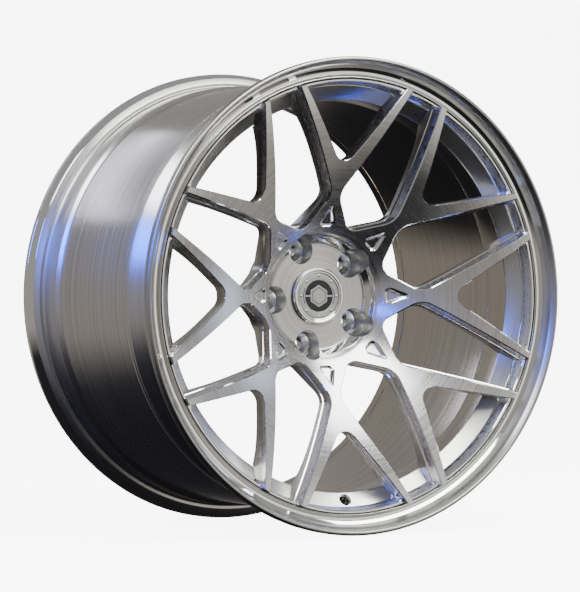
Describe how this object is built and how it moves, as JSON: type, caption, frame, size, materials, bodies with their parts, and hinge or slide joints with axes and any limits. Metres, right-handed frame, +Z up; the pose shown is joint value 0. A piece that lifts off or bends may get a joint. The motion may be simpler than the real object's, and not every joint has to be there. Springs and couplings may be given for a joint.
{
  "type": "wheel rim",
  "caption": "Forged and welded light-alloy road racing wheel with split spokes, a deep polished lip, steel-seated lug holes and a push-in centre cap that pulls out.",
  "frame": {"origin": "On the wheel's axis, midway between the two outer flange edges.", "axes": "Y is the wheel's axis, with the face towards -Y and the hub face that meets the car towards +Y. Z is up, with the valve hole at -Z, and X is to the right seen from the front."},
  "size_m": [0.543, 0.3258, 0.543],
  "materials": {
    "centre": "forged aluminium, face turned and fine brushed, window walls satin",
    "lip": "forged aluminium, polished lip, satin cone and brushed well",
    "barrel": "lathe-turned aluminium with fine lines round the axis",
    "weld": "aluminium weld, dressed",
    "lug_seats": "zinc-plated turned steel",
    "cap_moulding": "black moulded nylon",
    "cap_bezel": "polished aluminium",
    "cap_face": "silver anodised aluminium, bead-blasted",
    "cap_inlay": "black lacquered inlay",
    "screws": "zinc-plated steel",
    "spring": "bare spring steel wire"
  },
  "bodies": {
    "wheel": {"forged_centre": "centre", "outer_rim_half": "lip", "inner_rim_half": "barrel", "rim_seam_weld": "weld", "centre_ring_weld": "weld", "lug_insert_1": "lug_seats", "lug_insert_2": "lug_seats", "lug_insert_3": "lug_seats", "lug_insert_4": "lug_seats", "lug_insert_5": "lug_seats"},
    "cap": {"cap_body": "cap_moulding", "cap_bezel": "cap_bezel", "cap_face_plate": "cap_face", "cap_emblem_hexagon": "cap_face", "cap_inlay_upper": "cap_inlay", "cap_inlay_lower": "cap_inlay", "cap_screw_1": "screws", "cap_screw_2": "screws", "cap_screw_3": "screws", "cap_screw_4": "screws", "cap_screw_5": "screws", "cap_screw_6": "screws", "cap_screw_7": "screws", "cap_screw_8": "screws", "cap_snap_ring": "spring"}
  },
  "joints": [
    {"name": "cap_pull", "type": "slide", "parent": "wheel", "child": "cap", "axis": [0, -1, 0], "range_m": [0, 0.03]}
  ]
}
